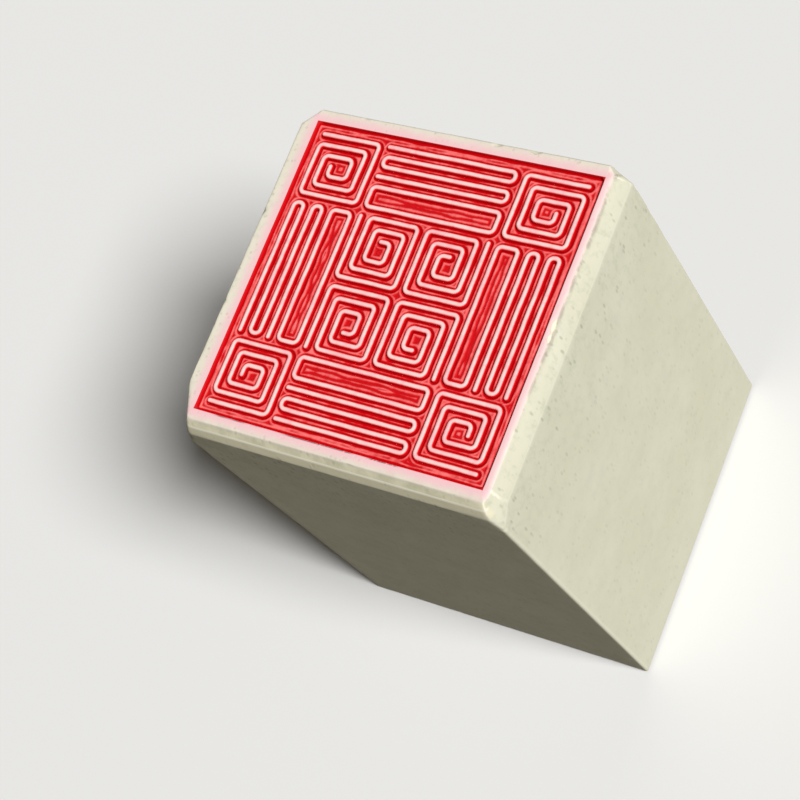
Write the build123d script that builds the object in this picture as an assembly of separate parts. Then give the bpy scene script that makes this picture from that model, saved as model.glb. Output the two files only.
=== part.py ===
from build123d import *
import os

# A square column seal of pale soapstone, standing on its plain end with the carved face up.
# Origin at the middle of the plain end, +Z along the column, +X and +Y to the right and up
# the carved face as its reader sees it.

# The block
face_width = 50.0
face_height = 50.0
stone_length = 76.0
arris_radius = 0.4
plain_end_bevel = 0.6

# The ground rim of the carved face: each facet runs in over the face and drops down a side
right_run, right_drop = 1.0, 4.2
left_run, left_drop = 0.6, 1.1
top_run, top_drop = 0.35, 0.5
bottom_steep_run, bottom_steep_drop = 1.0, 3.1
bottom_gentle_run, bottom_gentle_drop = 1.45, 2.2

# The four ground corners: run along the width, run along the height, drop down the arris
top_right_run_x, top_right_run_y, top_right_drop = 2.4, 2.6, 4.9
top_left_run_x, top_left_run_y, top_left_drop = 3.2, 3.6, 6.0
bottom_left_run_x, bottom_left_run_y, bottom_left_drop = 3.0, 8.0, 6.9
bottom_right_run_x, bottom_right_run_y, bottom_right_drop = 1.5, 9.0, 6.5

# The sunk field inside the frame line, a little off the middle of the face
field_width = 45.0
field_height = 45.0
field_shift_x = 0.5
field_shift_y = 0.45
field_corner_radius = 0.8
carve_depth = 0.8

# The raised fret: its line, and the channel between its outer lines and the frame line
stroke_width = 0.72
frame_channel = 1.4
round_share = 0.47
clip_share = 0.4

# The vermilion paste that lies on the floor of the carving
paste_depth = 0.2

# One overrun for every cut
overrun = 0.3

# Lines of the fret: a motif is a square of seven lines, and four motifs make a side
motif_lines = 7
lines_across = 4 * motif_lines
loop_lines = 3
last = motif_lines - 1
long_last = 2 * motif_lines - 1

# Worked out from the sizes above
half_width = face_width / 2
half_height = face_height / 2
lattice_width = field_width - 2 * frame_channel - stroke_width
lattice_height = field_height - 2 * frame_channel - stroke_width
pitch_x = lattice_width / (lines_across - 1)
pitch_y = lattice_height / (lines_across - 1)
outer_bend_radius = round_share * (min(pitch_x, pitch_y) + stroke_width)


def ground_facet(stone, a, b, c):
    """Grind away what lies beyond the plane through three points of the rim."""
    corner, second, third = Vector(*a), Vector(*b), Vector(*c)
    outwards = (second - corner).cross(third - corner)
    heart = Vector(0, 0, stone_length / 2)
    if outwards.dot(heart - corner) > 0:
        outwards = outwards * -1
    facet = Plane(origin=corner, z_dir=outwards)
    return split(stone, bisect_by=facet, keep=Keep.BOTTOM)


def ground_side(stone, side_x, side_y, run, drop):
    """Grind one side of the rim: side_x and side_y point to it, and one of them is zero."""
    face_x, face_y = side_x * (half_width - run), side_y * (half_height - run)
    wall_x, wall_y = side_x * half_width, side_y * half_height
    along_x, along_y = side_y * half_width, side_x * half_height
    return ground_facet(
        stone,
        (face_x, face_y, stone_length),
        (wall_x, wall_y, stone_length - drop),
        (wall_x + along_x, wall_y + along_y, stone_length - drop),
    )


def eased_plain_end(stone, side_x, side_y):
    """Bevel one edge of the plain end."""
    wall_x, wall_y = side_x * half_width, side_y * half_height
    along_x, along_y = side_y * half_width, side_x * half_height
    inner_x = side_x * (half_width - plain_end_bevel)
    inner_y = side_y * (half_height - plain_end_bevel)
    return ground_facet(
        stone,
        (inner_x, inner_y, 0),
        (wall_x, wall_y, plain_end_bevel),
        (wall_x + along_x, wall_y + along_y, plain_end_bevel),
    )


def ground_corner(stone, side_x, side_y, run_x, run_y, drop):
    """Grind one corner of the rim to a three-sided facet that dies out down the arris."""
    wall_x, wall_y = side_x * half_width, side_y * half_height
    return ground_facet(
        stone,
        (wall_x - side_x * run_x, wall_y, stone_length),
        (wall_x, wall_y - side_y * run_y, stone_length),
        (wall_x, wall_y, stone_length - drop),
    )


def stone_blank():
    """The squared column with eased arrises, before anything is carved in its face."""
    base = (Align.CENTER, Align.CENTER, Align.MIN)
    stone = Box(face_width, face_height, stone_length, align=base)
    stone = fillet(stone.edges().filter_by(Axis.Z), arris_radius)
    for side_x, side_y in ((1, 0), (-1, 0), (0, 1), (0, -1)):
        stone = eased_plain_end(stone, side_x, side_y)
    stone = ground_side(stone, 1, 0, right_run, right_drop)
    stone = ground_side(stone, -1, 0, left_run, left_drop)
    stone = ground_side(stone, 0, 1, top_run, top_drop)
    stone = ground_side(stone, 0, -1, bottom_steep_run, bottom_steep_drop)
    stone = ground_side(stone, 0, -1, bottom_gentle_run, bottom_gentle_drop)
    stone = ground_corner(stone, 1, 1, top_right_run_x, top_right_run_y, top_right_drop)
    stone = ground_corner(stone, -1, 1, top_left_run_x, top_left_run_y, top_left_drop)
    stone = ground_corner(stone, -1, -1, bottom_left_run_x, bottom_left_run_y, bottom_left_drop)
    return ground_corner(stone, 1, -1, bottom_right_run_x, bottom_right_run_y, bottom_right_drop)


def square_spiral():
    """One line that winds inwards round a motif and stops a pitch short of its last turn."""
    route = [(0, 0), (last, 0), (last, last), (0, last)]
    left, right, bottom, top = 0, last - 1, 1, last - 1
    while True:
        x, y = route[-1]
        heading = len(route) % 4
        if heading == 0:
            step, bottom = (x, bottom), bottom + 1
        elif heading == 1:
            step, right = (right, y), right - 1
        elif heading == 2:
            step, top = (x, top), top - 1
        else:
            left += 1
            step = (left, y)
        if step == (x, y):
            return route[:-1]
        route.append(step)


def folded_line(rows):
    """One line that runs to and fro across two motifs, a pitch apart."""
    route = []
    for row in range(rows):
        ends = [(0, row), (long_last, row)]
        route += ends if row % 2 == 0 else ends[::-1]
    return route


def long_loop():
    """A closed loop as long as two motifs."""
    return [(0, 0), (long_last, 0), (long_last, loop_lines - 1), (0, loop_lines - 1)]


def moved(route, right, up):
    return [(x + right, y + up) for x, y in route]


def turned(route):
    """A route on its side."""
    return [(y, x) for x, y in route]


def mirrored(route, flip_x, flip_y):
    """A route mirrored in the middle lines of the field, where a flip is true."""
    far = lines_across - 1
    return [(far - x if flip_x else x, far - y if flip_y else y) for x, y in route]


def fret_routes():
    """Every line of the fret as its line numbers, with whether it closes on itself."""
    folds = motif_lines - loop_lines
    corner = square_spiral()
    inner = moved(turned(square_spiral()), motif_lines, motif_lines)
    fold = moved(folded_line(folds), motif_lines, 0)
    loop = moved(long_loop(), motif_lines, folds)
    routes = []
    for flip in (False, True):
        for spiral in (corner, inner):
            routes.append((mirrored(spiral, flip, False), False))
            routes.append((mirrored(spiral, flip, True), False))
        routes.append((mirrored(fold, False, flip), False))
        routes.append((mirrored(turned(fold), flip, False), False))
        routes.append((mirrored(loop, False, flip), True))
        routes.append((mirrored(turned(loop), flip, False), True))
    return routes


def on_the_field(route):
    """A route's line numbers as places measured from the middle of the field."""
    middle = (lines_across - 1) / 2
    return [Vector((x - middle) * pitch_x, (y - middle) * pitch_y) for x, y in route]


def flank(places, side, closed):
    """One flank of a line: its corners, each with a radius, sharp on the inside of a bend."""
    half = stroke_width / 2
    corners = []
    count = len(places)
    for index in range(0 if closed else 1, count if closed else count - 1):
        here = places[index]
        coming = (here - places[index - 1]).normalized()
        going = (places[(index + 1) % count] - here).normalized()
        outwards = (coming - going) * half
        outside = (coming.cross(going).Z < 0) == (side > 0)
        corner = here + outwards if outside else here - outwards
        corners.append((corner, outer_bend_radius if outside else 0))
    return corners


def clipped_end(tip, before):
    """The end of an open line, its two corners clipped, from the left flank to the right."""
    onwards = (tip - before).normalized() * (stroke_width / 2)
    leftwards = Vector(-onwards.Y, onwards.X)
    left_corners = [
        tip + leftwards + onwards * clip_share,
        tip + leftwards * clip_share + onwards,
    ]
    right_corners = [
        tip - leftwards * clip_share + onwards,
        tip - leftwards + onwards * clip_share,
    ]
    return [(corner, 0) for corner in left_corners + right_corners]


def rounded_outline(corners):
    points = [corner for corner, radius in corners]
    radii = [radius for corner, radius in corners]
    return make_face(FilletPolyline(*points, radius=radii, close=True))


def line_outline(route, closed):
    """The outline of one raised line."""
    places = on_the_field(route)
    left, right = flank(places, 1, closed), flank(places, -1, closed)
    if closed:
        first, second = rounded_outline(left), rounded_outline(right)
        return first - second if first.area > second.area else second - first
    far_end = clipped_end(places[-1], places[-2])
    near_end = clipped_end(places[0], places[1])
    return rounded_outline(left + far_end + right[::-1] + near_end)


def ground_sketch():
    """The floor of the carving: the sunk field, less the lines left standing in it."""
    ground = RectangleRounded(field_width, field_height, field_corner_radius)
    return ground - [line_outline(route, closed) for route, closed in fret_routes()]


def build():
    """Carve the face, then lay the paste on the floor that the carving leaves."""
    ground = ground_sketch()
    face = Plane(origin=(field_shift_x, field_shift_y, stone_length))
    floor = face.offset(-carve_depth)
    stone = stone_blank() - extrude(floor * ground, carve_depth + overrun)
    patches = (floor * ground).faces().sort_by(SortBy.AREA)
    paste = [extrude(patch, paste_depth) for patch in patches]
    return {
        "stone_block": stone,
        "paste_in_ground": paste[-1],
        "paste_in_loops": Compound(children=paste[:-1]),
    }


os.makedirs("parts", exist_ok=True)
for node, piece in build().items():
    export_step(piece, f"parts/{node}.step")
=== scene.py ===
from math import pi, radians

import bmesh
import bpy
from bpy.props import FloatProperty, FloatVectorProperty, IntProperty, PointerProperty
from mathutils import Matrix, Vector, noise
from mathutils.bvhtree import BVHTree


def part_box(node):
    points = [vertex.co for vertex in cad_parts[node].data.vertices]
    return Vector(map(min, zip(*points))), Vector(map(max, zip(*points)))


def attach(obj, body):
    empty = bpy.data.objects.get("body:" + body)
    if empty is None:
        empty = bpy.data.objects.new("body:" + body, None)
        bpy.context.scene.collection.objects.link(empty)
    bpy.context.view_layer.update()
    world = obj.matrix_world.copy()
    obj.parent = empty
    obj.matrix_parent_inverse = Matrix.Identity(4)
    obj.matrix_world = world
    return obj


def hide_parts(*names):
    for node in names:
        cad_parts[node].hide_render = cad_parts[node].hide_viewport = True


bl_info = {
    "name": "Seal stamp",
    "version": (1, 0, 0),
    "blender": (4, 5, 0),
    "location": "3D View > Sidebar > Seal stamp",
    "description": "Makes a square stone seal with a carved fret and red paste in its ground",
    "category": "Object",
}

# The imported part: one standing block, its carved face up, with the paste in the carving
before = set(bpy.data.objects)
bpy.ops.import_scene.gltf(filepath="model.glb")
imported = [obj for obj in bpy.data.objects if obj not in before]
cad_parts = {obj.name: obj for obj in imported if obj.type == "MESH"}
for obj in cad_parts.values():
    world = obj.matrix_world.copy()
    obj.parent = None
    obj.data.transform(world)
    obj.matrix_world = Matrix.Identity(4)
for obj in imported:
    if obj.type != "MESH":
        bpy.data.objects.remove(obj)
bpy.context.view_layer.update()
stone_low, stone_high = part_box("stone_block")
BODY = "root"
MM = 0.001

# Points nearer to each other than this are the same point
CLOSE = 0.001 * MM

# A point nearer to a cut than this lies in it
IN_THE_CUT = 0.0001 * MM

# A direction with more of its length than this along the column runs along it
ALONG_COLUMN = 0.999

# Places on the rim where a chip has come off, in millimetres on the face: across, up and size
CHIPS = (
    (24.0, 1.5, 1.2), (24.0, -0.4, 1.0), (24.0, -13.2, 0.5), (3.8, -24.0, 0.9),
    (8.9, -24.0, 0.6), (17.1, -24.1, 0.5), (-9.5, -24.0, 0.45), (6.2, 24.65, 0.7),
    (12.1, 24.65, 0.8), (-14.5, 24.65, 0.5), (-24.4, 8.0, 0.6), (-24.4, -6.3, 0.45),
)

# The fret's lattice: a motif is a square of seven lines, and four motifs make a side
MOTIF_LINES = 7
LINES_ACROSS = 4 * MOTIF_LINES
LOOP_LINES = 3
LAST_LINE = MOTIF_LINES - 1
LONG_LAST_LINE = 2 * MOTIF_LINES - 1

# Steps in the rounding of an arris, of the field's corners and of its mouth
ARRIS_STEPS = 4
CORNER_STEPS = 5
MOUTH_STEPS = 2

# Away from the rim each division down the column is this much longer than the one above it
DIVISION_GROWTH = 1.25

# The rim is rubbed unevenly, in patches, hardest on the right and next round the bottom corners
RUB_PATCHES = 3 * MM
RUB_UNEVEN = 0.06
RIM_SOFTNESS = 0.09
RIGHT_SOFTNESS = 0.8
RIGHT_UNEVEN = 3 * RUB_UNEVEN
CORNER_SOFTNESS = 0.8
CORNER_REACH = 7 * MM

# Faces that meet at more than this angle leave a sharp edge, and points beside it are marked less
SHARP = radians(4)
BESIDE_SHARP = 0.5

# The waves in the ground faces, twice as high at the face, and sunk so that few stand proud
BROAD_WAVES = 6 * MM
CLOSE_WAVES = 2.1 * MM
WAVES_FADE = 9 * MM
WAVES_SUNK = 1.2

# The long edges: how many roundings their rub reaches in, and how evenly they are rubbed
ARRIS_REACH = 3
ARRIS_RUBBED = 0.2

# A chip: how far outside the rim its ball sits and how rough it is, as shares of its size
CHIP_OUT_SHARE = 0.45
CHIP_ROUGH_SHARE = 0.25
CHIP_GRAIN = 0.5 * MM

# Half of a raised line's section from the middle of its top to its foot, as shares of half its
# width and of the depth of the carving
SECTION_SHARES = (
    (0, 0), (0.34, 0.012), (0.60, 0.05), (0.80, 0.12), (0.97, 0.25), (1.08, 0.48), (1.22, 0.98))

# The lines wander in the same way in each run
WANDER_SEED = 7

# The depth at which the room between two lines is measured, as a share of the carving's depth, and
# how near a line's skin a point under the line can be, as a share of the line's width
PROBE_SHARE = 0.7
UNDER_SHARE = 0.6

# The slanted cuts: how much their width varies and over what length, and the lumps in the paste
CUT_VARIES = 0.4
CUT_PATCHES = 2.6 * MM
BROAD_LUMPS = 0.9 * MM
CLOSE_LUMPS = 0.4 * MM


def length_property(name, description, default):
    return FloatProperty(
        name=name, description=description, default=default, subtype="DISTANCE", precision=5
    )


def lengths_property(name, description, default):
    return FloatVectorProperty(
        name=name, description=description, default=default, size=len(default),
        unit="LENGTH", precision=5,
    )


def facet_property(name, *reaches):
    return lengths_property(
        name, "Run over the face and drop down the side", tuple(reach * MM for reach in reaches))


def corner_property(name, *reaches):
    return lengths_property(
        name, "Runs along width and height, and drop", tuple(reach * MM for reach in reaches))


def share_property(name, description, default):
    return FloatProperty(
        name=name, description=description, default=default, min=0, max=1, subtype="FACTOR"
    )


def colour_property(name, description, default):
    return FloatVectorProperty(
        name=name, description=description, default=default, size=3, min=0, max=1,
        subtype="COLOR",
    )


class StoneSizes(bpy.types.PropertyGroup):
    width: length_property(
        "Width", "Side of the face from left to right", stone_high.x - stone_low.x)
    height: length_property(
        "Height", "Side of the face from bottom to top", stone_high.y - stone_low.y)
    length: length_property(
        "Length", "Length of the column", stone_high.z - stone_low.z)
    arris: length_property(
        "Arris", "How far the long edges are rounded", 0.4 * MM)
    fine_arris: length_property(
        "Fine arris", "How far the edges of the plain end and the field are rounded", 0.11 * MM)
    plain_bevel: length_property(
        "Plain end bevel", "Bevel round the plain end", 0.6 * MM)
    right_facet: facet_property("Right facet", 1.0, 4.2)
    left_facet: facet_property("Left facet", 0.6, 1.1)
    top_facet: facet_property("Top facet", 0.35, 0.5)
    steep_facet: facet_property("Bottom steep facet", 1.0, 3.1)
    gentle_facet: facet_property("Bottom gentle facet", 1.45, 2.2)
    top_right_corner: corner_property("Top right corner", 2.4, 2.6, 4.9)
    top_left_corner: corner_property("Top left corner", 3.2, 3.6, 6.0)
    bottom_left_corner: corner_property("Bottom left corner", 3.0, 8.0, 6.9)
    bottom_right_corner: corner_property("Bottom right corner", 1.5, 9.0, 6.5)
    rim_band: length_property(
        "Rim band", "Band along the rim that is divided finely", 3.4 * MM)
    rim_cut: length_property(
        "Rim cut", "Size of the divisions near the rim", 0.25 * MM)
    waviness: length_property(
        "Waviness", "How uneven the hand-ground faces are", 0.018 * MM)
    arris_wear: length_property(
        "Arris wear", "How far the long edges are rubbed back where they are worn most", 0.09 * MM)
    rim_rubs: IntProperty(
        name="Rim rubs", description="How often the softest part of the rim is rubbed over",
        default=22, min=1)
    rim_margin: length_property(
        "Rim margin", "Strip next to the field that isn't rubbed", 0.3 * MM)


class FieldSizes(bpy.types.PropertyGroup):
    width: length_property("Width", "Width of the sunk field", 45.0 * MM)
    height: length_property("Height", "Height of the sunk field", 45.0 * MM)
    shift: lengths_property(
        "Shift", "How far the field sits off the middle of the face", (0.5 * MM, 0.45 * MM))
    corner: length_property("Corner", "Rounding of the field's corners", 0.8 * MM)
    depth: length_property("Depth", "Depth of the carving", 0.8 * MM)
    wall_lean: length_property(
        "Wall lean", "How far the field's wall leans in to its foot", 0.16 * MM)


class FretSizes(bpy.types.PropertyGroup):
    line_width: length_property("Line width", "Width of a raised line", 0.72 * MM)
    channel: length_property(
        "Frame channel", "Channel between the outer lines and the frame line", 1.4 * MM)
    bend_share: share_property(
        "Bend share", "Outer radius of a bend, as a share of the pitch and a line", 0.47)
    bend_steps: IntProperty(
        name="Bend steps", description="Facets in a quarter turn", default=6, min=2)
    stride: length_property("Stride", "Longest stretch of a line in one piece", 0.75 * MM)
    sink: length_property("Sink", "How far the tops lie under the face", 0.012 * MM)
    wander: length_property("Wander", "How far a hand-cut line strays", 0.045 * MM)
    wander_length: length_property("Wander length", "Length over which it strays", 3.4 * MM)
    nibble: length_property("Nibble", "How rough a hand-cut flank is", 0.016 * MM)
    nibble_length: length_property("Nibble length", "Size of the roughness", 0.8 * MM)


class PasteSizes(bpy.types.PropertyGroup):
    channel_floor: length_property(
        "Channel floor", "Depth of the cut beside a line, under the face", 0.72 * MM)
    crest: length_property(
        "Crest", "Height of the ridge between two cuts, over the channel floor", 0.34 * MM)
    cut_width: length_property("Cut width", "Width of one slanted cut", 0.40 * MM)
    second_cut: share_property(
        "Second cut", "Depth of the cuts in wide ground, as a share of the crest", 0.6)
    lumps: length_property("Lumps", "Unevenness of the paste", 0.035 * MM)
    cells: IntProperty(
        name="Cells", description="Cells of the paste's surface in a pitch", default=10, min=4)


class SealColours(bpy.types.PropertyGroup):
    stone: colour_property("Stone", "Pale stone", (0.785, 0.765, 0.595))
    stone_light: colour_property(
        "Light stone", "Lighter clouds in the stone", (0.82, 0.805, 0.64))
    stone_grey: colour_property("Grey stone", "Greyer clouds in the stone", (0.71, 0.71, 0.565))
    mottle: colour_property("Mottles", "Greenish mottles in the stone", (0.64, 0.66, 0.50))
    pit: colour_property("Pits", "Dirt in the fine pits", (0.42, 0.41, 0.30))
    # The rubbed edge colour is partly real bruising and partly a painted highlight along edges and
    # the bottom crease
    rubbed: colour_property(
        "Rubbed edge", "Stone bruised white along its edges", (1.0, 0.97, 0.78))
    # Painted warm light for the bottom facets
    painted_facet_light: colour_property(
        "Bruised facet", "Stone bruised warm on the bottom facets", (1.0, 0.91, 0.62))
    dirt: colour_property("Dirt", "Greenish dirt in worn places", (0.52, 0.51, 0.35))
    dirt_line: colour_property("Dirt line", "Dirt caught along the edge", (0.42, 0.35, 0.29))
    stain: colour_property("Stain", "Paste rubbed over the frame line", (0.93, 0.58, 0.61))
    stain_faint: colour_property(
        "Faint stain", "Paste rubbed thin over the frame line", (0.86, 0.72, 0.68))
    line_pale: colour_property("Line tops", "Wiped tops of the lines", (1.0, 0.67, 0.64))
    line_pink: colour_property(
        "Line tops, stained", "Stained parts of the tops", (1.0, 0.52, 0.53))
    paste_deep: colour_property("Deep paste", "Paste in the bottom of a cut", (0.56, 0.0, 0.003))
    paste: colour_property("Paste", "Paste on the ground", (0.60, 0.001, 0.005))
    # Partly real paste on the wall and partly painted light that lifts the shaded wall
    wall_paste_and_painted_light: colour_property(
        "Paste on the wall", "Paste on the field's wall", (0.62, 0.02, 0.025))
    paste_thin: colour_property("Thin paste", "Paste rubbed thin on a crest", (1.0, 0.22, 0.21))


class StageSettings(bpy.types.PropertyGroup):
    floor_colour: colour_property("Floor", "Colour of the floor as seen", (0.79, 0.79, 0.78))
    floor_bounce: colour_property(
        "Floor bounce", "Colour that the floor throws back", (0.05, 0.042, 0.030))
    floor_side: length_property("Floor side", "Side of the floor", 6.0)
    key_from: FloatVectorProperty(
        name="Key light", description="Direction towards the key light",
        default=(0.63, -0.055, 0.775), size=3, subtype="DIRECTION")
    key_power: FloatProperty(
        name="Key power", description="Strength of the key light", default=3.9, min=0)
    key_softness: FloatProperty(
        name="Key softness", description="Apparent width of the key light",
        default=radians(19), subtype="ANGLE")
    surround: FloatProperty(
        name="Surround", description="Strength of the light from all round", default=0.05, min=0)
    surround_colour: colour_property(
        "Surround colour", "Colour of the light from all round", (1.0, 0.85, 0.60))
    camera_place: FloatVectorProperty(
        name="Camera", description="Where the camera stands",
        default=(133.736 * MM, -76.691 * MM, 307.493 * MM), size=3, unit="LENGTH", precision=5)
    camera_aim: FloatVectorProperty(
        name="Camera aim", description="Direction that the camera looks in",
        default=(-0.46658, 0.23305, -0.85323), size=3, subtype="DIRECTION")
    camera_right: FloatVectorProperty(
        name="Camera right", description="Direction to the right of the image",
        default=(0.85459, 0.36744, -0.36696), size=3, subtype="DIRECTION")
    lens: FloatProperty(
        name="Lens", description="Focal length", default=93.64, min=1, unit="CAMERA")


class Value:
    """A socket's number or vector in a sum: Python's operators add the maths nodes."""

    def __init__(self, finish, socket):
        self.finish = finish
        self.socket = socket

    def beside(self, name):
        """Another output of the same node."""
        return Value(self.finish, self.socket.node.outputs[name])

    def maths(self, operation, first, second=0.0):
        return self.finish.node(
            "ShaderNodeMath", {"operation": operation}, {0: first, 1: second})

    def __add__(self, other):
        return self.maths("ADD", self, other)

    __radd__ = __add__

    def __sub__(self, other):
        return self.maths("SUBTRACT", self, other)

    def __rsub__(self, other):
        return self.maths("SUBTRACT", other, self)

    def __mul__(self, other):
        return self.maths("MULTIPLY", self, other)

    __rmul__ = __mul__

    def __abs__(self):
        return self.maths("ABSOLUTE", self)

    def most(self, other):
        return self.maths("MAXIMUM", self, other)


class NodeMaker:
    """Adds nodes to a tree and links them."""

    def __init__(self, tree):
        self.tree = tree

    def node(self, kind, settings=None, sockets=None, output=0):
        """Add a node: its settings first, then its sockets' values or links."""
        made = self.tree.nodes.new(kind)
        for name, value in (settings or {}).items():
            setattr(made, name, value)
        for name, value in (sockets or {}).items():
            self.feed(made.inputs[name], value)
        return Value(self, made.outputs[output])

    def feed(self, socket, value):
        if isinstance(value, Value):
            self.tree.links.new(value.socket, socket)
        else:
            socket.default_value = value

    def ramp(self, value, start, end, lowest=0.0, highest=1.0):
        """A smooth rise from lowest at start to highest at end."""
        return self.node(
            "ShaderNodeMapRange", {"interpolation_type": "SMOOTHSTEP"},
            {"Value": value, "From Min": start, "From Max": end,
             "To Min": lowest, "To Max": highest})

    def colours(self, factor, first, second):
        """First colour where the factor is 0, second where it is 1."""
        return self.node(
            "ShaderNodeMix", {"data_type": "RGBA"},
            {0: factor, 6: opaque(first), 7: opaque(second)}, output=2)

    def seen(self):
        """1 for rays from the camera, in a gloss or through something clear, otherwise 0."""
        camera = self.node("ShaderNodeLightPath")
        return camera.most(camera.beside("Is Glossy Ray")).most(
            camera.beside("Is Transmission Ray"))


class Finish(NodeMaker):
    """A material in the making: colours are laid over its base one by one."""

    def __init__(self, name, base):
        self.base = base
        self.material = bpy.data.materials.new(name)
        self.material.use_nodes = True
        super().__init__(self.material.node_tree)
        self.shader = self.tree.nodes["Principled BSDF"]
        self.place = self.node("ShaderNodeTexCoord").beside("Object")

    def stretched(self, sizes):
        """The place on the piece, in pattern steps of these sizes along x, y and z."""
        return self.node(
            "ShaderNodeVectorMath", {"operation": "DIVIDE"}, {0: self.place, 1: sizes})

    def clouds(self, size, detail=3.0, roughness=0.5):
        """Soft noise from 0 to 1 with clouds of about this size."""
        sizes = size if isinstance(size, tuple) else (size, size, size)
        return self.node(
            "ShaderNodeTexNoise", {},
            {"Vector": self.stretched(sizes), "Scale": 1.0, "Detail": detail,
             "Roughness": roughness})

    def specks(self, spacing):
        """Distance to the nearest of many scattered specks, in steps of their spacing."""
        return self.node(
            "ShaderNodeTexVoronoi", {}, {"Vector": self.stretched(spacing), "Scale": 1.0})

    def coordinates(self):
        """The place on the piece as three numbers, in metres."""
        across = self.node("ShaderNodeSeparateXYZ", {}, {0: self.place})
        return across, across.beside("Y"), across.beside("Z")

    def height(self):
        """How high the place on the piece is, in metres."""
        return self.coordinates()[2]

    def mark(self, name):
        """A mark left on the shape while it was made, from 0 to 1."""
        return self.node("ShaderNodeAttribute", {"attribute_name": name}).beside("Fac")

    def lay(self, cover, colour):
        """Lay a colour over those below it, as thick as its cover from 0 to 1."""
        self.base = self.colours(cover, self.base, colour)

    def bumps(self, height, depth):
        """Relief too fine to model, of about this depth."""
        normal = self.node(
            "ShaderNodeBump", {}, {"Strength": 1.0, "Distance": depth, "Height": height})
        self.feed(self.shader.inputs["Normal"], normal)

    def surface(self, **inputs):
        for name, value in inputs.items():
            self.feed(self.shader.inputs[name.replace("_", " ")], opaque(value))


def opaque(value):
    """A colour with its alpha, or any other value as it is."""
    return (*value, 1.0) if hasattr(value, "__len__") and len(value) == 3 else value


def placed_object(bm, name):
    """Turn a shape into an object in the scene."""
    mesh = bpy.data.meshes.new(name)
    bm.to_mesh(mesh)
    bm.free()
    made = bpy.data.objects.new(name, mesh)
    bpy.context.scene.collection.objects.link(made)
    return made


def finished_piece(bm, name, material, slot, *nodes):
    """Turn a shape into a piece that rides on the part and stands for its nodes."""
    for face in bm.faces:
        face.smooth = True
    piece = placed_object(bm, name)
    piece.data.materials.append(material)
    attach(piece, BODY)
    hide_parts(*nodes)
    return piece


def flat_sheet(bm, middle, width, height, cells_x=1, cells_y=1):
    """Add a flat sheet of even cells."""
    verts = bmesh.ops.create_grid(bm, x_segments=cells_x, y_segments=cells_y, size=0.5)["verts"]
    bmesh.ops.scale(bm, vec=(width, height, 1), verts=verts)
    bmesh.ops.translate(bm, vec=middle, verts=verts)
    return verts


def everything(bm):
    return bm.verts[:] + bm.edges[:] + bm.faces[:]


def edges_of(geometry):
    return [item for item in geometry if isinstance(item, bmesh.types.BMEdge)]


def verts_of(geometry):
    return [item for item in geometry if isinstance(item, bmesh.types.BMVert)]


# The stone

def grind(bm, stone, a, b, c):
    """Grind away what lies beyond the plane through three points, and close the cut."""
    a, b, c = Vector(a), Vector(b), Vector(c)
    outwards = (b - a).cross(c - a).normalized()
    heart = Vector((0, 0, stone.length / 2))
    if outwards.dot(heart - a) > 0:
        outwards.negate()
    cut = bmesh.ops.bisect_plane(
        bm, geom=everything(bm), dist=IN_THE_CUT, plane_co=a, plane_no=outwards,
        clear_outer=True,
    )["geom_cut"]
    bmesh.ops.holes_fill(bm, edges=edges_of(cut))


def grind_side(bm, stone, side_x, side_y, facet, end):
    """Grind one side of an end: side_x and side_y point to it, and one of them is zero."""
    run, drop = facet
    wall_x, wall_y = side_x * stone.width / 2, side_y * stone.height / 2
    along_x, along_y = side_y * stone.width / 2, side_x * stone.height / 2
    level = end - drop
    grind(
        bm, stone,
        (wall_x - side_x * run, wall_y - side_y * run, end),
        (wall_x, wall_y, level),
        (wall_x + along_x, wall_y + along_y, level),
    )


def grind_corner(bm, stone, side_x, side_y, corner):
    """Grind one corner of the rim to a three-sided facet."""
    run_x, run_y, drop = corner
    wall_x, wall_y = side_x * stone.width / 2, side_y * stone.height / 2
    grind(
        bm, stone,
        (wall_x - side_x * run_x, wall_y, stone.length),
        (wall_x, wall_y - side_y * run_y, stone.length),
        (wall_x, wall_y, stone.length - drop),
    )


def ground_blank(stone):
    """The squared column with its ground rim, all edges still sharp."""
    bm = bmesh.new()
    bmesh.ops.create_cube(bm, size=1.0)
    bmesh.ops.scale(bm, vec=(stone.width, stone.height, stone.length), verts=bm.verts)
    bmesh.ops.translate(bm, vec=(0, 0, stone.length / 2), verts=bm.verts)
    plain_bevel = (stone.plain_bevel, -stone.plain_bevel)
    for side_x, side_y in ((1, 0), (-1, 0), (0, 1), (0, -1)):
        grind_side(bm, stone, side_x, side_y, plain_bevel, 0)
    facets = (
        (1, 0, stone.right_facet), (-1, 0, stone.left_facet), (0, 1, stone.top_facet),
        (0, -1, stone.steep_facet), (0, -1, stone.gentle_facet))
    for side_x, side_y, facet in facets:
        grind_side(bm, stone, side_x, side_y, facet, stone.length)
    grind_corner(bm, stone, 1, 1, stone.top_right_corner)
    grind_corner(bm, stone, -1, 1, stone.top_left_corner)
    grind_corner(bm, stone, -1, -1, stone.bottom_left_corner)
    grind_corner(bm, stone, 1, -1, stone.bottom_right_corner)
    bmesh.ops.remove_doubles(bm, verts=bm.verts, dist=CLOSE)
    bmesh.ops.recalc_face_normals(bm, faces=bm.faces)
    return bm


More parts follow.
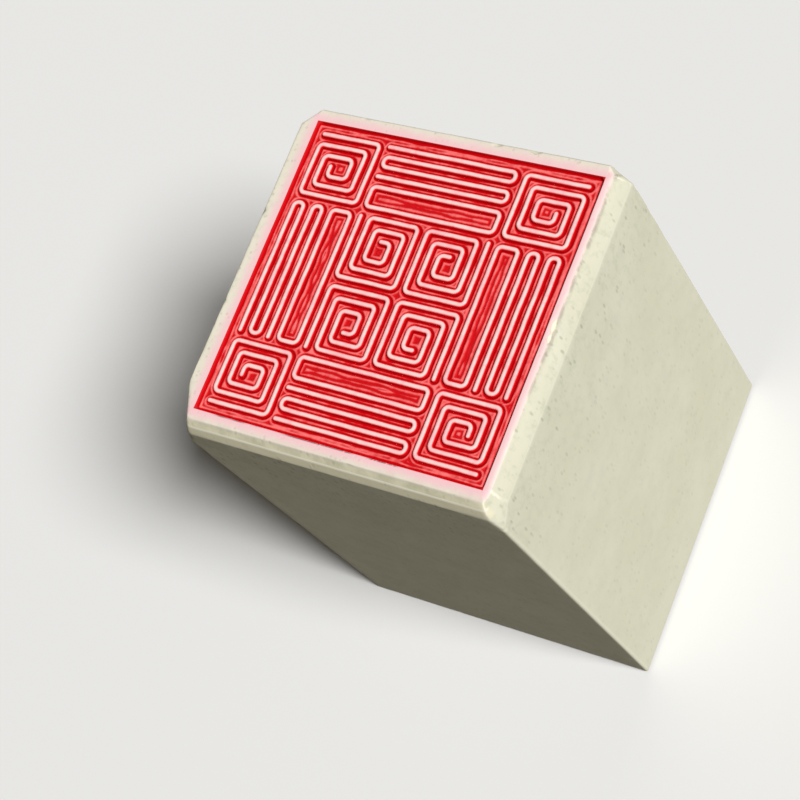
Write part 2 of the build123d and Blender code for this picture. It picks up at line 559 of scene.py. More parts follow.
def rounded_blank(stone):
    """The blank with its long edges and its plain end rounded."""
    sharp = ground_blank(stone)
    weights = sharp.edges.layers.float.new("bevel_weight_edge")
    for edge in sharp.edges:
        first, second = [vert.co for vert in edge.verts]
        if abs((first - second).normalized().z) > ALONG_COLUMN:
            edge[weights] = 1.0
        elif max(first.z, second.z) < 2 * stone.plain_bevel:
            edge[weights] = stone.fine_arris / stone.arris
    blank = placed_object(sharp, "blank")
    bevel = blank.modifiers.new("arrises", "BEVEL")
    bevel.limit_method = "WEIGHT"
    bevel.width = stone.arris
    bevel.segments = ARRIS_STEPS
    bevel.use_clamp_overlap = False
    seen = blank.evaluated_get(bpy.context.evaluated_depsgraph_get())
    bm = bmesh.new()
    bm.from_mesh(seen.to_mesh())
    seen.to_mesh_clear()
    mesh = blank.data
    bpy.data.objects.remove(blank)
    bpy.data.meshes.remove(mesh)
    return bm


def sink_field(bm, stone, field):
    """Sink the field into the face, with a frame line left standing round it."""
    bm.normal_update()
    face = max(bm.faces, key=lambda f: f.calc_area() if f.normal.z > ALONG_COLUMN else 0)
    rim = face.edges[:]
    bmesh.ops.delete(bm, geom=[face], context="FACES_ONLY")
    mark = bm.faces.layers.int.new("mouth")
    middle = Vector((field.shift[0], field.shift[1], stone.length))
    outline = flat_sheet(bm, middle, field.width, field.height)
    outline[0].link_faces[0][mark] = 1
    bmesh.ops.bevel(
        bm, geom=outline, offset=field.corner, segments=CORNER_STEPS, profile=0.5,
        affect="VERTICES", offset_type="OFFSET", material=-1,
    )
    patch = max((f for f in bm.faces if f[mark]), key=lambda f: f.calc_area())
    mouth = patch.edges[:]
    bmesh.ops.delete(bm, geom=[patch], context="FACES_ONLY")
    bmesh.ops.triangle_fill(bm, use_beauty=True, edges=rim + mouth)
    foot = verts_of(bmesh.ops.extrude_edge_only(bm, edges=mouth)["geom"])
    bmesh.ops.translate(bm, vec=(0, 0, -field.depth), verts=foot)
    lean_x, lean_y = 2 * field.wall_lean / field.width, 2 * field.wall_lean / field.height
    bmesh.ops.scale(
        bm, vec=(1 - lean_x, 1 - lean_y, 1), space=Matrix.Translation(-middle), verts=foot)
    bmesh.ops.bevel(
        bm, geom=mouth, offset=stone.fine_arris / 2, segments=MOUTH_STEPS, profile=0.5,
        affect="EDGES", offset_type="OFFSET", material=-1,
    )


def cut_places(reach, stone):
    """Places of the cross cuts between the rounded edges, closer together near the rim."""
    place, places = reach - stone.arris, []
    while place > 0:
        places += [place, -place]
        near_rim = place > reach - stone.rim_band
        place -= stone.rim_cut if near_rim else 2 * stone.rim_cut
    return places


def cross_cut(bm, stone):
    """Divide the faces finely, most of all near the rim, so that wear can move them."""
    depth, step = stone.rim_cut, stone.rim_cut
    while depth < stone.length - stone.plain_bevel:
        slice_across(bm, 2, stone.length - depth)
        if depth > 2 * stone.rim_band:
            step *= DIVISION_GROWTH
        depth += step
    for axis, reach in ((0, stone.width / 2), (1, stone.height / 2)):
        for place in cut_places(reach, stone):
            slice_across(bm, axis, place)


def slice_across(bm, axis, place):
    normal = Vector((0, 0, 0))
    normal[axis] = 1
    bmesh.ops.bisect_plane(
        bm, geom=everything(bm), dist=IN_THE_CUT, plane_co=normal * place, plane_no=normal)


def smooth_noise(place, size):
    return noise.noise(place / size)


def rim_softness(place, stone, field):
    """How round a part of the rim has been rubbed, from 0 to 1: most of all on the right."""
    out_x = abs(place.x - field.shift[0]) - field.width / 2
    out_y = abs(place.y - field.shift[1]) - field.height / 2
    if stone.length - place.z > 2 * stone.rim_band or max(out_x, out_y) < stone.rim_margin:
        return 0.0
    patchy = smooth_noise(place, RUB_PATCHES)
    if place.x > field.shift[0] + field.width / 2 + stone.rim_margin:
        return RIGHT_SOFTNESS + RIGHT_UNEVEN * patchy
    to_corner = Vector((stone.width / 2 - abs(place.x), stone.height / 2 + place.y)).length
    near_corner = max(0.0, 1 - to_corner / CORNER_REACH)
    return RIM_SOFTNESS + RUB_UNEVEN * patchy + CORNER_SOFTNESS * near_corner


def rub_rim(bm, stone, field):
    """Mark the sharp edges, then rub the rim over again and again."""
    bm.normal_update()
    arris = bm.verts.layers.float.new("arris")
    for vert in bm.verts:
        angles = [edge.calc_face_angle(0.0) for edge in vert.link_edges]
        vert[arris] = float(max(angles) > SHARP)
    for vert in [vert for vert in bm.verts if vert[arris] == 1]:
        for edge in vert.link_edges:
            beside = edge.other_vert(vert)
            beside[arris] = max(beside[arris], BESIDE_SHARP)
    softness = {vert: rim_softness(vert.co, stone, field) for vert in bm.verts}
    for rub in range(stone.rim_rubs):
        soft = [vert for vert in bm.verts if softness[vert] > rub / stone.rim_rubs]
        bmesh.ops.smooth_vert(
            bm, verts=soft, factor=0.5, use_axis_x=True, use_axis_y=True, use_axis_z=True)


def wear(bm, stone):
    """Leave the hand-ground faces a little wavy and the long edges rubbed back in places."""
    bm.normal_update()
    for vert in bm.verts:
        place = vert.co
        waves = smooth_noise(place, BROAD_WAVES) + 0.5 * smooth_noise(place, CLOSE_WAVES)
        near_face = max(0.0, 1 - (stone.length - place.z) / WAVES_FADE)
        to_arris = Vector((stone.width / 2 - abs(place.x), stone.height / 2 - abs(place.y))).length
        near_arris = max(0.0, 1 - to_arris / (ARRIS_REACH * stone.arris))
        rub = max(0.0, smooth_noise(place, RUB_PATCHES) + ARRIS_RUBBED)
        reach = stone.waviness * (waves * (1 + near_face) - WAVES_SUNK)
        reach -= stone.arris_wear * rub * near_arris
        if place.z > stone.plain_bevel:
            vert.co += vert.normal * reach


def chip_rim(bm, stone):
    """Bite small chips out of the rim, each as a ball would leave it."""
    chip = bm.verts.layers.float.new("chip")
    for across, up, size in CHIPS:
        radius = size * MM
        place = Vector((across * MM, up * MM, stone.length))
        sideways = Vector((across, 0, 0)) if abs(across) > abs(up) else Vector((0, up, 0))
        outwards = (sideways.normalized() + Vector((0, 0, 1))).normalized()
        middle = place + outwards * (radius * CHIP_OUT_SHARE)
        for vert in bm.verts:
            away = vert.co - middle
            rough = radius * (1 + CHIP_ROUGH_SHARE * smooth_noise(vert.co, CHIP_GRAIN))
            if away.length < rough:
                vert.co = middle + away.normalized() * rough
                vert[chip] = 1.0


def crease_depth(gentle, steep):
    """Depth under the face of the line where two facets of one side meet."""
    gentle_run, gentle_drop = gentle
    steep_run, steep_drop = steep
    inwards = (steep_drop - gentle_drop) / (steep_drop / steep_run - gentle_drop / gentle_run)
    return gentle_drop * (1 - inwards / gentle_run)


# Sizes of the stone's patterns
STONE_CLOUDS, STONE_SPOTS, STONE_GRAIN = 11 * MM, 2.6 * MM, 0.28 * MM
PIT_SPACING, PIT_PATCHES = (0.9 * MM, 0.9 * MM, 2.4 * MM), 4 * MM
MOTTLES = (1.1 * MM, 1.1 * MM, 2.0 * MM)
STAIN_PATCHES, STAIN_STRAY, BLEED_STRAY = 1.7 * MM, 1.4 * MM, 0.10 * MM
STONE_RELIEF = 0.03 * MM

# Reaches of the stone's colours, each from where a colour is absent to where it is full. DOWN is
# down from the face, UP is up from the bottom, IN is from an edge of the face, OUT is out from
# the field and WIDTH is to both sides of a line.
NEAR_FACE_DOWN, ON_FACE_DOWN = (26 * MM, 2 * MM), (0.5 * MM, 0.1 * MM)
BOTTOM_FACETS_DOWN, BOTTOM_FACETS_UP = (3.4 * MM, 2.6 * MM), (1.6 * MM, 0.9 * MM)
BELOW_DOWN, BELOW_UP = (1.6 * MM, 1.1 * MM), (2.4 * MM, 1.4 * MM)
BESIDE_DOWN, BESIDE_IN = (2 * MM, 1 * MM), (1.1 * MM, 0.5 * MM)
HIGHLIGHT_STRIP_DOWN, HIGHLIGHT_STRIP_IN = (3.4 * MM, 0.4 * MM), (0.0, 0.4 * MM)
EDGE_RUB_AND_HIGHLIGHT_DOWN, EDGE_RUB_AND_HIGHLIGHT_OFF_FACE_DOWN = (3.0 * MM, 1.8 * MM), (0.1 * MM, 0.35 * MM)
STAIN_UP, STAIN_OUT, FAINT_OUT = (5 * MM, 2 * MM), (1.7 * MM, 0.2 * MM), (3.2 * MM, 0.6 * MM)
DIRT_LINE_UP, DIRT_LINE_WIDTH = (9 * MM, 21 * MM), (0.24 * MM, 0.04 * MM)
CREASE_WIDTH, BLEED_OUT = (0.28 * MM, 0.1 * MM), (0.08 * MM, 0.0)
WALL_DOWN, WALL_OUT = (0.1 * MM, 0.6 * MM), (0.035 * MM, 0.015 * MM)


def stone_finish(colours, stone, field):
    """Pale soapstone, with the paste's stain on the frame line and red field walls, and with
    painted highlights on its edges and painted light on its bottom facets and walls.
    """
    finish = Finish("pale_soapstone", colours.stone)
    x, y, z = finish.coordinates()
    depth, from_left, from_bottom = stone.length - z, x + stone.width / 2, y + stone.height / 2
    # The stone is clouded, and pitted and mottled near the face
    close = finish.clouds(STONE_SPOTS, 4, 0.6)
    grain = finish.clouds(STONE_GRAIN, 3, 0.7)
    near_face = finish.ramp(depth, *NEAR_FACE_DOWN, 0.25, 1.0)
    finish.lay(finish.ramp(finish.clouds(STONE_CLOUDS, 4, 0.55), 0.35, 0.7), colours.stone_light)
    finish.lay(finish.ramp(close, 0.42, 0.8, 0, 0.45), colours.stone_grey)
    patches = finish.ramp(finish.clouds(PIT_PATCHES, 2), 0.40, 0.58)
    pits = finish.ramp(finish.specks(PIT_SPACING), 0.34, 0.12) * patches * near_face
    finish.lay(pits * 0.6, colours.pit)
    mottles = finish.ramp(finish.clouds(MOTTLES, 4, 0.65), 0.48, 0.70, 0, 0.6)
    finish.lay(mottles * near_face, colours.mottle)
    # The bottom facets are lightened and warmed with painted light, with dirt above them and a
    # pale line where they meet that is partly rubbed stone and partly a painted highlight
    stray = (finish.clouds(STAIN_PATCHES, 4, 0.6) - 0.5) * STAIN_STRAY
    bruised = finish.ramp(from_bottom, *BOTTOM_FACETS_UP) * finish.ramp(depth, *BOTTOM_FACETS_DOWN)
    # Painted light: the bottom facets are lightened and warmed
    finish.lay(bruised * 0.5, colours.painted_facet_light)
    below = finish.ramp(from_bottom + stray, *BELOW_UP) * finish.ramp(depth, *BELOW_DOWN)
    finish.lay(below * finish.ramp(close, 0.35, 0.65, 0.05, 0.45), colours.dirt)
    # The pale crease line is partly rubbed stone and partly a painted highlight
    from_crease = abs(depth - crease_depth(stone.gentle_facet, stone.steep_facet))
    finish.lay(bruised * finish.ramp(from_crease, *CREASE_WIDTH), colours.rubbed)
    # The left-hand edge is dirty in patches
    beside = finish.ramp(from_left + stray * 0.3, *BESIDE_IN) * finish.ramp(depth, *BESIDE_DOWN)
    finish.lay(beside * finish.ramp(close, 0.42, 0.66, 0, 0.6), colours.dirt)
    # Sharp edges are bruised white and carry a painted highlight, and a faint painted highlight
    # strip lies just past the right-hand edge
    # The white along sharp edges is partly bruised stone and partly a painted highlight
    rubbed = finish.ramp(finish.mark("arris") + close * 0.5, 0.5, 1.1, 0, 0.95)
    rubbed = rubbed * finish.ramp(depth, *EDGE_RUB_AND_HIGHLIGHT_DOWN, 0.25, 1.0)
    rubbed = rubbed * finish.ramp(depth, *EDGE_RUB_AND_HIGHLIGHT_OFF_FACE_DOWN, 0.15, 1.0)
    past_edge = x - (stone.width / 2 - stone.right_facet[0]) + stray * 0.15
    # Painted highlight: a faint pale strip just past the right-hand edge, near the face
    highlight_strip = finish.ramp(past_edge, *HIGHLIGHT_STRIP_IN) * finish.ramp(depth, *HIGHLIGHT_STRIP_DOWN)
    finish.lay(rubbed.most(highlight_strip * 0.2), colours.rubbed)
    # Paste is rubbed over the frame line, a little more along its bottom
    out_x = abs(x - field.shift[0]) - field.width / 2
    out_y = abs(y - field.shift[1]) - field.height / 2
    out, on_face = out_x.most(out_y), finish.ramp(depth, *ON_FACE_DOWN)
    faint = finish.ramp(out + stray, *FAINT_OUT) * on_face
    finish.lay(faint * 0.5, colours.stain_faint)
    strong = finish.ramp(out + stray * 0.6, *STAIN_OUT) * on_face
    finish.lay(strong * finish.ramp(from_bottom, *STAIN_UP, 0.85, 1.0), colours.stain)
    # The chips are dirty, and a thin line of dirt runs along the right-hand edge but for its foot
    finish.lay(finish.mark("chip") * close * 0.6, colours.dirt)
    line = finish.ramp(abs(past_edge), *DIRT_LINE_WIDTH)
    line = line * finish.ramp(close, 0.38, 0.62, 0.15, 0.7)
    finish.lay(line * finish.ramp(from_bottom, *DIRT_LINE_UP), colours.dirt_line)
    # Paste bleeds out of the field and reddens its walls, with a lighter red near the mouth as
    # painted light that lifts the walls' shade
    bleed = finish.ramp(out + (grain - 0.5) * BLEED_STRAY, *BLEED_OUT)
    finish.lay(bleed * on_face * 0.4, colours.paste_thin)
    # The lighter red near the wall's mouth is painted light lifting the shade
    wall_red = finish.colours(finish.ramp(depth, *WALL_DOWN), colours.wall_paste_and_painted_light, colours.paste)
    finish.lay(finish.ramp(out, *WALL_OUT), wall_red)
    finish.surface(
        Base_Color=finish.base, Roughness=finish.ramp(close, 0.2, 0.8, 0.56, 0.72),
        Specular_IOR_Level=0.02)
    finish.bumps(grain * 0.35 + close * 0.5 - pits * 0.5, STONE_RELIEF)
    return finish.material


class SEAL_OT_stone(bpy.types.Operator):
    """Grind the column, sink the field in its face and wear its edges"""

    bl_idname = "seal.stone"
    bl_label = "Stone"

    def execute(self, context):
        stone, field = context.scene.seal_stone, context.scene.seal_field
        bm = rounded_blank(stone)
        sink_field(bm, stone, field)
        plain_end = min(bm.faces, key=lambda f: f.calc_center_median().z)
        bmesh.ops.delete(bm, geom=[plain_end], context="FACES_ONLY")
        cross_cut(bm, stone)
        bmesh.ops.holes_fill(bm, edges=[e for e in bm.edges if e.is_boundary])
        bmesh.ops.recalc_face_normals(bm, faces=bm.faces)
        rub_rim(bm, stone, field)
        wear(bm, stone)
        chip_rim(bm, stone)
        material = stone_finish(context.scene.seal_colours, stone, field)
        piece = finished_piece(bm, "ground_stone", material, "stone", "stone_block")
        crisp = piece.modifiers.new("even_shading", "WEIGHTED_NORMAL")
        crisp.mode = "FACE_AREA"
        return {"FINISHED"}


# The raised fret

def square_spiral():
    """One line that winds inwards round a motif and stops a pitch short of its last turn."""
    route = [(0, 0), (LAST_LINE, 0), (LAST_LINE, LAST_LINE), (0, LAST_LINE)]
    left, right, bottom, top = 0, LAST_LINE - 1, 1, LAST_LINE - 1
    while True:
        x, y = route[-1]
        heading = len(route) % 4
        if heading == 0:
            step, bottom = (x, bottom), bottom + 1
        elif heading == 1:
            step, right = (right, y), right - 1
        elif heading == 2:
            step, top = (x, top), top - 1
        else:
            left += 1
            step = (left, y)
        if step == (x, y):
            return route[:-1]
        route.append(step)


def folded_line(rows):
    """One line that runs to and fro across two motifs, a pitch apart."""
    route = []
    for row in range(rows):
        ends = [(0, row), (LONG_LAST_LINE, row)]
        route += ends if row % 2 == 0 else ends[::-1]
    return route


def long_loop():
    """A closed loop as long as two motifs."""
    far_row = LOOP_LINES - 1
    return [(0, 0), (LONG_LAST_LINE, 0), (LONG_LAST_LINE, far_row), (0, far_row)]


def moved(route, right, up):
    return [(x + right, y + up) for x, y in route]


def turned(route):
    """A route on its side."""
    return [(y, x) for x, y in route]


def mirrored(route, flip_x, flip_y):
    """A route mirrored in the middle lines of the field, where a flip is true."""
    far = LINES_ACROSS - 1
    return [(far - x if flip_x else x, far - y if flip_y else y) for x, y in route]


def open_routes():
    """The lines of the fret that have two ends: spirals and folded lines."""
    inner = moved(turned(square_spiral()), MOTIF_LINES, MOTIF_LINES)
    fold = moved(folded_line(MOTIF_LINES - LOOP_LINES), MOTIF_LINES, 0)
    routes = []
    for flip in (False, True):
        for spiral in (square_spiral(), inner):
            routes += [mirrored(spiral, flip, False), mirrored(spiral, flip, True)]
        routes += [mirrored(fold, False, flip), mirrored(turned(fold), flip, False)]
    return routes


def loop_routes():
    """The lines of the fret that close on themselves."""
    loop = moved(long_loop(), MOTIF_LINES, MOTIF_LINES - LOOP_LINES)
    routes = []
    for flip in (False, True):
        routes += [mirrored(loop, False, flip), mirrored(turned(loop), flip, False)]
    return routes


def fret_pitch(field, fret):
    """Distance between neighbouring lines of the fret, across and up."""
    spare = 2 * fret.channel + fret.line_width
    steps = LINES_ACROSS - 1
    return (field.width - spare) / steps, (field.height - spare) / steps


def on_the_field(route, field, fret, level):
    """A route's line numbers as places on the face."""
    pitch_x, pitch_y = fret_pitch(field, fret)
    middle = (LINES_ACROSS - 1) / 2
    return [Vector(((x - middle) * pitch_x + field.shift[0],
                    (y - middle) * pitch_y + field.shift[1], level)) for x, y in route]


def line_section(fret, field):
    """Half of a raised line's cross-section, from the middle of its top to its foot."""
    half = fret.line_width / 2
    return [(half * across, -field.depth * down) for across, down in SECTION_SHARES]


def whole_section(half_section):
    """A closed cross-section, round from the top by the left flank and the right one."""
    foot = (0, half_section[-1][1])
    right = [(-across, up) for across, up in half_section[1:]]
    return half_section + [foot] + right[::-1]


def leftwards(heading):
    return Vector((-heading.y, heading.x, 0))


def stand_section(bm, place, heading, section):
    """Stand a cross-section up at a place, square to the way the line heads."""
    left = leftwards(heading)
    verts = [bm.verts.new(place + left * u + Vector((0, 0, v))) for u, v in section]
    edges = [bm.edges.new(pair) for pair in zip(verts, verts[1:] + verts[:1])]
    return verts + edges


def carry(bm, section, steps, travel=(0, 0, 0), centre=(0, 0, 0), turn=0.0):
    """Carry a section straight on or round a centre, leaving a skin behind it."""
    return bmesh.ops.spin(
        bm, geom=section, cent=centre, axis=(0, 0, 1), dvec=Vector(travel) / steps,
        angle=turn, steps=steps,
    )["geom_last"]


def round_end(bm, section, tip, heading, turn, steps):
    """Close an end of a line by turning the left half of its section round the tip."""
    left = leftwards(heading)
    half = [v for v in verts_of(section) if (v.co - tip).dot(left) > -CLOSE]
    edges = [e for e in edges_of(section) if all(v in half for v in e.verts)]
    carry(bm, half + edges, steps, centre=tip, turn=turn)


def run_on(bm, section, here, goal, fret):
    """Carry a section straight on, in strides short enough to stray."""
    travel = goal - here
    steps = max(1, round(travel.length / fret.stride))
    return carry(bm, section, steps, travel=travel)


def draw_line(bm, places, closed, radius, fret, section):
    """Draw one raised line: runs are carried straight on and bends are turned."""
    start = (places[0] + places[1]) / 2 if closed else places[0]
    goal = start if closed else places[-1]
    corners = places[1:] + places[:1] if closed else places[1:-1]
    heading = (places[1] - places[0]).normalized()
    first = ring = stand_section(bm, start, heading, section)
    here = start
    for corner, after in zip(corners, corners[1:] + [goal]):
        before_bend = corner - heading * radius
        ring = run_on(bm, ring, here, before_bend, fret)
        onwards = (after - corner).normalized()
        side = 1 if heading.cross(onwards).z > 0 else -1
        centre = before_bend + leftwards(heading) * side * radius
        ring = carry(bm, ring, fret.bend_steps, centre=centre, turn=side * pi / 2)
        here, heading = corner + onwards * radius, onwards
    ring = run_on(bm, ring, here, goal, fret)
    if not closed:
        round_end(bm, ring, goal, heading, -pi, 2 * fret.bend_steps)
        first_heading = (places[1] - places[0]).normalized()
        round_end(bm, first, start, first_heading, pi, 2 * fret.bend_steps)


def add_line(bm, places, closed, radius, fret, section):
    """Draw a line by itself, which is quicker, and add it to the others."""
    line = bmesh.new()
    draw_line(line, places, closed, radius, fret, section)
    bmesh.ops.remove_doubles(line, verts=line.verts, dist=2 * CLOSE)
    bmesh.ops.recalc_face_normals(line, faces=line.faces)
    mesh = bpy.data.meshes.new("line")
    line.to_mesh(mesh)
    line.free()
    bm.from_mesh(mesh)
    bpy.data.meshes.remove(mesh)


def stray(bm, fret):
    """Let the lines wander as a hand-held knife leaves them."""
    noise.seed_set(WANDER_SEED)
    for vert in bm.verts:
        place = vert.co.copy()
        wander = noise.noise_vector(place / fret.wander_length) * fret.wander
        nibble = noise.noise_vector(place / fret.nibble_length) * fret.nibble
        vert.co += Vector((wander.x + nibble.x, wander.y + nibble.y, 0))
        vert.co.z += min(0.0, nibble.z)


# Sizes of the lines' patterns, and how far down from the face each colour of their flanks, and
# their gloss, starts and is full
LINE_CLOUDS, LINE_SPOTS, LINE_GRAIN = 5 * MM, 0.9 * MM, 0.16 * MM
SPOTS_STRAY, GRAIN_STRAY = 0.08 * MM, 0.04 * MM
THIN_DOWN, THICK_DOWN = (0.015 * MM, 0.13 * MM), (0.07 * MM, 0.22 * MM)
DEEP_DOWN, OILY_DOWN = (0.3 * MM, 0.7 * MM), (0.0, 0.3 * MM)
LINE_RELIEF = 0.02 * MM


def line_finish(colours, stone):
    """Stone lines wiped pale on top, with paste clinging to their flanks."""
    finish = Finish("inked_lines", colours.line_pale)
    depth = stone.length - finish.height()
    close = finish.clouds(LINE_SPOTS, 4, 0.6)
    broad = finish.clouds(LINE_CLOUDS, 3, 0.5)
    grain = finish.clouds(LINE_GRAIN, 3, 0.7)
    edge = depth + (close - 0.5) * SPOTS_STRAY + (grain - 0.5) * GRAIN_STRAY
    finish.lay(finish.ramp(broad * 0.6 + close * 0.4, 0.42, 0.66), colours.line_pink)
    finish.lay(finish.ramp(edge, *THIN_DOWN), colours.paste_thin)
    finish.lay(finish.ramp(edge, *THICK_DOWN), colours.paste)
    finish.lay(finish.ramp(depth, *DEEP_DOWN), colours.paste_deep)
    finish.surface(
        Base_Color=finish.base, Roughness=finish.ramp(edge, *OILY_DOWN, 0.55, 0.42),
        Specular_IOR_Level=0.35)
    finish.bumps(grain * 0.6 + close * 0.6, LINE_RELIEF)
    return finish.material


class SEAL_OT_fret(bpy.types.Operator):
    """Raise the lines of the fret, with round bends and round ends"""

    bl_idname = "seal.fret"
    bl_label = "Raised fret"

    def execute(self, context):
        scene = context.scene
        stone, field, fret = scene.seal_stone, scene.seal_field, scene.seal_fret
        section = whole_section(line_section(fret, field))
        radius = fret.bend_share * (min(fret_pitch(field, fret)) + fret.line_width)
        radius -= fret.line_width / 2
        level = stone.length - fret.sink
        bm = bmesh.new()
        for routes, closed in ((open_routes(), False), (loop_routes(), True)):
            for route in routes:
                places = on_the_field(route, field, fret, level)
                add_line(bm, places, closed, radius, fret, section)
        stray(bm, fret)
        material = line_finish(scene.seal_colours, stone)
        finished_piece(bm, "raised_fret", material, "stone", "stone_block")
        return {"FINISHED"}


# The paste in the carving

def carving_sizes(scene):
    return scene.seal_stone, scene.seal_field, scene.seal_fret, scene.seal_paste


def clearance(place, lines, stone, field, fret):
    """How far a place on the ground is from the foot of the nearest line or wall."""
    foot_x = field.width / 2 - field.wall_lean - abs(place.x - field.shift[0])
    foot_y = field.height / 2 - field.wall_lean - abs(place.y - field.shift[1])
    probe = Vector((place.x, place.y, stone.length - field.depth * PROBE_SHARE))
    nearest, outwards, index, distance = lines.find_nearest(probe)
    near_line = distance < fret.line_width * UNDER_SHARE
    under_line = near_line and (probe - nearest).dot(outwards) < 0
    return 0.0 if under_line else max(0.0, min(foot_x, foot_y, distance))


def ground_level(place, clear, stone, paste):
    """Height of the paste: slanted cuts side by side, with a ridge where two cuts meet."""
    cut_width = paste.cut_width * (1 + CUT_VARIES * smooth_noise(place, CUT_PATCHES))
    cuts = clear / cut_width
    past_first = max(0.0, cuts - 1) % 2
    dip = 1 - abs(past_first - 1)
    rise = paste.crest * (min(1.0, cuts) - paste.second_cut * dip)
    lumps = smooth_noise(place, BROAD_LUMPS) + 0.5 * smooth_noise(place, CLOSE_LUMPS)
    rise += paste.lumps * lumps * min(1.0, clear / paste.lumps)
    return stone.length - paste.channel_floor + rise


def ground_sheet(bm, low, high, cell_x, cell_y):
    """A flat sheet of even cells from one corner of the ground to the other."""
    reach = high - low
    cells_x, cells_y = round(reach.x / cell_x), round(reach.y / cell_y)
    flat_sheet(bm, (low + high) / 2, reach.x, reach.y, cells_x, cells_y)


def backed(bm, level):
    """Wall the sheets' borders down to a level and close them underneath."""
    border = [edge for edge in bm.edges if edge.is_boundary]
    grown = bmesh.ops.extrude_edge_only(bm, edges=border)["geom"]
    foot = verts_of(grown)
    for vert in foot:
        vert.co.z = level
    under = [edge for edge in bm.edges if edge.is_boundary]
    bmesh.ops.triangle_fill(bm, use_beauty=True, edges=under)
    bmesh.ops.recalc_face_normals(bm, faces=bm.faces)


def loop_corners(field, fret, level):
    """The two far corners of each loop's middle line."""
    corners = []
    for route in loop_routes():
        places = on_the_field(route, field, fret, level)
        low = Vector((min(p.x for p in places), min(p.y for p in places), level))
        high = Vector((max(p.x for p in places), max(p.y for p in places), level))
        corners.append((low, high))
    return corners


# Sizes of the paste's patterns, and the heights over the floor of a cut where the paste turns from
# deep to plain and from plain to thin
PASTE_CLOUDS, PASTE_SPOTS, PASTE_GRAIN = 4 * MM, 0.7 * MM, 0.12 * MM
CLOUDS_RISE, SPOTS_RISE = 0.12 * MM, 0.10 * MM
PLAIN_RISE, THIN_RISE = (0.02 * MM, 0.2 * MM), (0.20 * MM, 0.35 * MM)
PASTE_RELIEF = 0.03 * MM


def paste_finish(colours, stone, paste):
    """Oily red paste, deep in the cuts and rubbed thin on the ridges between them."""
    finish = Finish("vermilion_paste", colours.paste_deep)
    rise = finish.height() - (stone.length - paste.channel_floor)
    close = finish.clouds(PASTE_SPOTS, 4, 0.6)
    broad = finish.clouds(PASTE_CLOUDS, 3, 0.5)
    grain = finish.clouds(PASTE_GRAIN, 3, 0.65)
    level = rise + (close - 0.5) * SPOTS_RISE + (broad - 0.5) * CLOUDS_RISE
    finish.lay(finish.ramp(level, *PLAIN_RISE), colours.paste)
    finish.lay(finish.ramp(level, *THIN_RISE, 0, 0.9), colours.paste_thin)
    finish.surface(
        Base_Color=finish.base, Roughness=finish.ramp(close, 0.2, 0.8, 0.36, 0.52),
        Specular_IOR_Level=0.2)
    finish.bumps(close * 0.6 + grain * 0.5, PASTE_RELIEF)
    return finish.material


def paste_piece(context, bm, name, node):
    """Give the sheets their slanted cuts, back them and make them a piece."""
    stone, field, fret, paste = carving_sizes(context.scene)
    fret_piece = bpy.data.objects["raised_fret"]
    lines = BVHTree.FromObject(fret_piece, context.evaluated_depsgraph_get())
    for vert in bm.verts:
        clear = clearance(vert.co, lines, stone, field, fret)
        vert.co.z = ground_level(vert.co, clear, stone, paste)
    backed(bm, stone.length - field.depth)
    material = bpy.data.materials.get("vermilion_paste")
    if material is None:
        material = paste_finish(context.scene.seal_colours, stone, paste)
    finished_piece(bm, name, material, "paste", node)


class SEAL_OT_ground_paste(bpy.types.Operator):
    """Lay the paste in the ground between the raised lines"""

    bl_idname = "seal.ground_paste"
    bl_label = "Paste in the ground"

    def execute(self, context):
        stone, field, fret, paste = carving_sizes(context.scene)
        pitch_x, pitch_y = fret_pitch(field, fret)
        cell_x, cell_y = pitch_x / paste.cells, pitch_y / paste.cells
        margin = field.width / 2 - pitch_x * (LINES_ACROSS - 1) / 2
        margin_cells = int(margin / cell_x) + 1
        reach = (LINES_ACROSS - 1) / 2 * paste.cells + margin_cells
        corner = Vector((reach * cell_x, reach * cell_y, 0))
        middle = Vector((field.shift[0], field.shift[1], stone.length))
        bm = bmesh.new()
        ground_sheet(bm, middle - corner, middle + corner, cell_x, cell_y)
        in_loops = []
        loops = loop_corners(field, fret, stone.length)
        for face in bm.faces:
            spot = face.calc_center_median()
            if any(a.x < spot.x < b.x and a.y < spot.y < b.y for a, b in loops):
                in_loops.append(face)
        bmesh.ops.delete(bm, geom=in_loops, context="FACES")
        paste_piece(context, bm, "paste_between_lines", "paste_in_ground")
        return {"FINISHED"}


class SEAL_OT_loop_paste(bpy.types.Operator):
    """Lay the paste inside the four long loops"""

    bl_idname = "seal.loop_paste"
    bl_label = "Paste in the loops"

    def execute(self, context):
        stone, field, fret, paste = carving_sizes(context.scene)
        pitch_x, pitch_y = fret_pitch(field, fret)
        bm = bmesh.new()
        for low, high in loop_corners(field, fret, stone.length):
            ground_sheet(bm, low, high, pitch_x / paste.cells, pitch_y / paste.cells)
        paste_piece(context, bm, "paste_inside_loops", "paste_in_loops")
        return {"FINISHED"}


# The stage

def pale_floor(stage):
    """A plain floor that is seen pale and throws little light back."""
    finish = Finish("pale_floor", stage.floor_bounce)
    finish.lay(finish.seen(), stage.floor_colour)
    finish.surface(Base_Color=finish.base, Roughness=0.9, Specular_IOR_Level=0.1)
    bm = bmesh.new()
    flat_sheet(bm, (0, 0, 0), stage.floor_side, stage.floor_side)
    ground = placed_object(bm, "floor")
    ground.data.materials.append(finish.material)


def surrounding_light(stage):
    """Even light from all round, white where it is seen."""
    world = bpy.data.worlds.new("studio")
    world.use_nodes = True
    maker = NodeMaker(world.node_tree)
    seen = maker.seen()
    background = world.node_tree.nodes["Background"]
    maker.feed(
        background.inputs["Color"], maker.colours(seen, stage.surround_colour, (1, 1, 1)))
    maker.feed(background.inputs["Strength"], seen * (1 - stage.surround) + stage.surround)
    bpy.context.scene.world = world


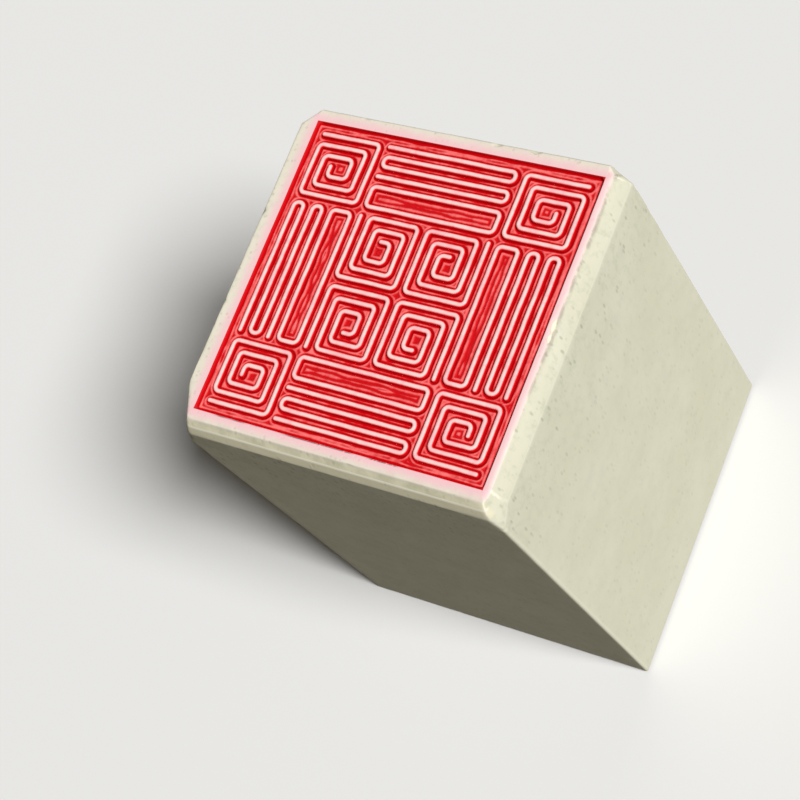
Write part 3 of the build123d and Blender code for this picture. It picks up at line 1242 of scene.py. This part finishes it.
def key_light(stage):
    lamp = bpy.data.lights.new("key", "SUN")
    lamp.energy = stage.key_power
    lamp.angle = stage.key_softness
    key = bpy.data.objects.new("key", lamp)
    key.rotation_mode = "QUATERNION"
    key.rotation_quaternion = Vector(stage.key_from).to_track_quat("Z", "Y")
    bpy.context.scene.collection.objects.link(key)


# The camera sees what lies between these distances
NEAREST_SEEN, FARTHEST_SEEN = 10 * MM, 20.0


def camera(stage):
    """The camera, from its place, its aim and the direction to the image's right."""
    lens = bpy.data.cameras.new("camera")
    lens.lens = stage.lens
    lens.clip_start, lens.clip_end = NEAREST_SEEN, FARTHEST_SEEN
    backwards = -Vector(stage.camera_aim).normalized()
    right = Vector(stage.camera_right)
    right = (right - backwards * right.dot(backwards)).normalized()
    upwards = backwards.cross(right)
    turn = Matrix((right, upwards, backwards)).transposed().to_4x4()
    stand = bpy.data.objects.new("camera", lens)
    stand.matrix_world = Matrix.Translation(stage.camera_place) @ turn
    bpy.context.scene.collection.objects.link(stand)
    bpy.context.scene.camera = stand


class SEAL_OT_stage(bpy.types.Operator):
    """Set up the floor, the soft light and the camera"""

    bl_idname = "seal.stage"
    bl_label = "Stage"

    def execute(self, context):
        stage = context.scene.seal_stage
        pale_floor(stage)
        surrounding_light(stage)
        key_light(stage)
        camera(stage)
        context.scene.view_settings.view_transform = "Standard"
        return {"FINISHED"}


class SEAL_PT_maker(bpy.types.Panel):
    bl_idname = "SEAL_PT_maker"
    bl_label = "Seal stamp"
    bl_space_type = "VIEW_3D"
    bl_region_type = "UI"
    bl_category = "Seal stamp"

    def draw(self, context):
        for operator in OPERATORS:
            self.layout.operator(operator.bl_idname)
        for name in SETTINGS:
            settings = getattr(context.scene, name)
            box = self.layout.box()
            for key in settings.__annotations__:
                box.prop(settings, key)


OPERATORS = (
    SEAL_OT_stone, SEAL_OT_fret, SEAL_OT_ground_paste, SEAL_OT_loop_paste, SEAL_OT_stage)
SETTINGS = {
    "seal_stone": StoneSizes,
    "seal_field": FieldSizes,
    "seal_fret": FretSizes,
    "seal_paste": PasteSizes,
    "seal_colours": SealColours,
    "seal_stage": StageSettings,
}


def register():
    for name, group in SETTINGS.items():
        bpy.utils.register_class(group)
        setattr(bpy.types.Scene, name, PointerProperty(type=group))
    for operator in OPERATORS:
        bpy.utils.register_class(operator)
    bpy.utils.register_class(SEAL_PT_maker)


def unregister():
    bpy.utils.unregister_class(SEAL_PT_maker)
    for operator in reversed(OPERATORS):
        bpy.utils.unregister_class(operator)
    for name, group in reversed(SETTINGS.items()):
        delattr(bpy.types.Scene, name)
        bpy.utils.unregister_class(group)


def main():
    register()
    bpy.ops.seal.stage()
    bpy.ops.seal.stone()
    bpy.ops.seal.fret()
    bpy.ops.seal.ground_paste()
    bpy.ops.seal.loop_paste()


if __name__ == "__main__":
    main()
